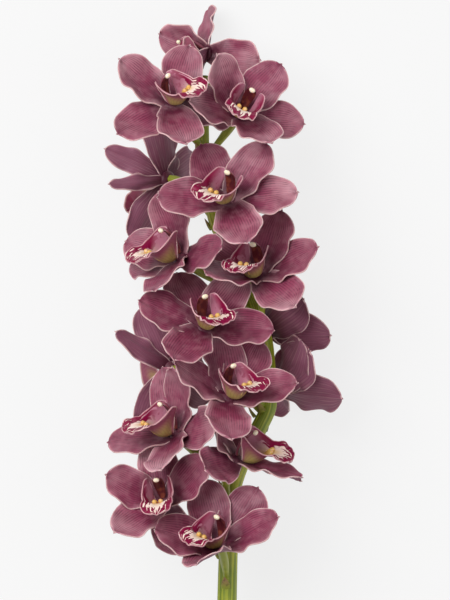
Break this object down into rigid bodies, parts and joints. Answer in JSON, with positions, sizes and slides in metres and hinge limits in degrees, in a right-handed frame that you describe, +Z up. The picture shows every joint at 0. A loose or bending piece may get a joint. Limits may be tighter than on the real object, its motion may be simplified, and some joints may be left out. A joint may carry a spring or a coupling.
{
  "type": "cymbidium orchid stem",
  "caption": "Cut flower stem of a cymbidium orchid, lying down: an arching green stem crowded with open mauve blooms, each with a crimson-edged lip and an arched column.",
  "frame": {"origin": "under the middle of the stem's box, on the surface that it rests on", "axes": "+Y from the cut end to the top of the stem, +Z up from the surface, +X to the right when seen from above with the top pointing away"},
  "size_m": [0.1664, 0.6282, 0.136],
  "materials": {
    "petals": "satin, dusky mauve with darker veins and a pale edge",
    "lip": "satin, pink side lobes, cream midlobe with crimson blotches",
    "column": "smooth, maroon underneath with a cream cap",
    "stem": "smooth waxy green"
  },
  "bodies": {
    "root": {"bloom_01": "petals", "bloom_01_lip": "lip", "bloom_01_column": "column", "bloom_02": "petals", "bloom_02_lip": "lip", "bloom_02_column": "column", "bloom_03": "petals", "bloom_03_lip": "lip", "bloom_03_column": "column", "bloom_04": "petals", "bloom_04_lip": "lip", "bloom_04_column": "column", "bloom_05": "petals", "bloom_05_lip": "lip", "bloom_05_column": "column", "bloom_06": "petals", "bloom_06_lip": "lip", "bloom_06_column": "column", "bloom_07": "petals", "bloom_07_lip": "lip", "bloom_07_column": "column", "bloom_08": "petals", "bloom_08_lip": "lip", "bloom_08_column": "column", "bloom_09": "petals", "bloom_09_lip": "lip", "bloom_09_column": "column", "bloom_10": "petals", "bloom_10_lip": "lip", "bloom_10_column": "column", "bloom_11": "petals", "bloom_11_lip": "lip", "bloom_11_column": "column", "bloom_12": "petals", "bloom_12_lip": "lip", "bloom_12_column": "column", "bloom_13": "petals", "bloom_13_lip": "lip", "bloom_13_column": "column", "bloom_14": "petals", "bloom_14_lip": "lip", "bloom_14_column": "column", "bloom_15": "petals", "bloom_15_lip": "lip", "bloom_15_column": "column", "bloom_16": "petals", "bloom_16_lip": "lip", "bloom_16_column": "column", "stem": "stem"}
  },
  "joints": []
}
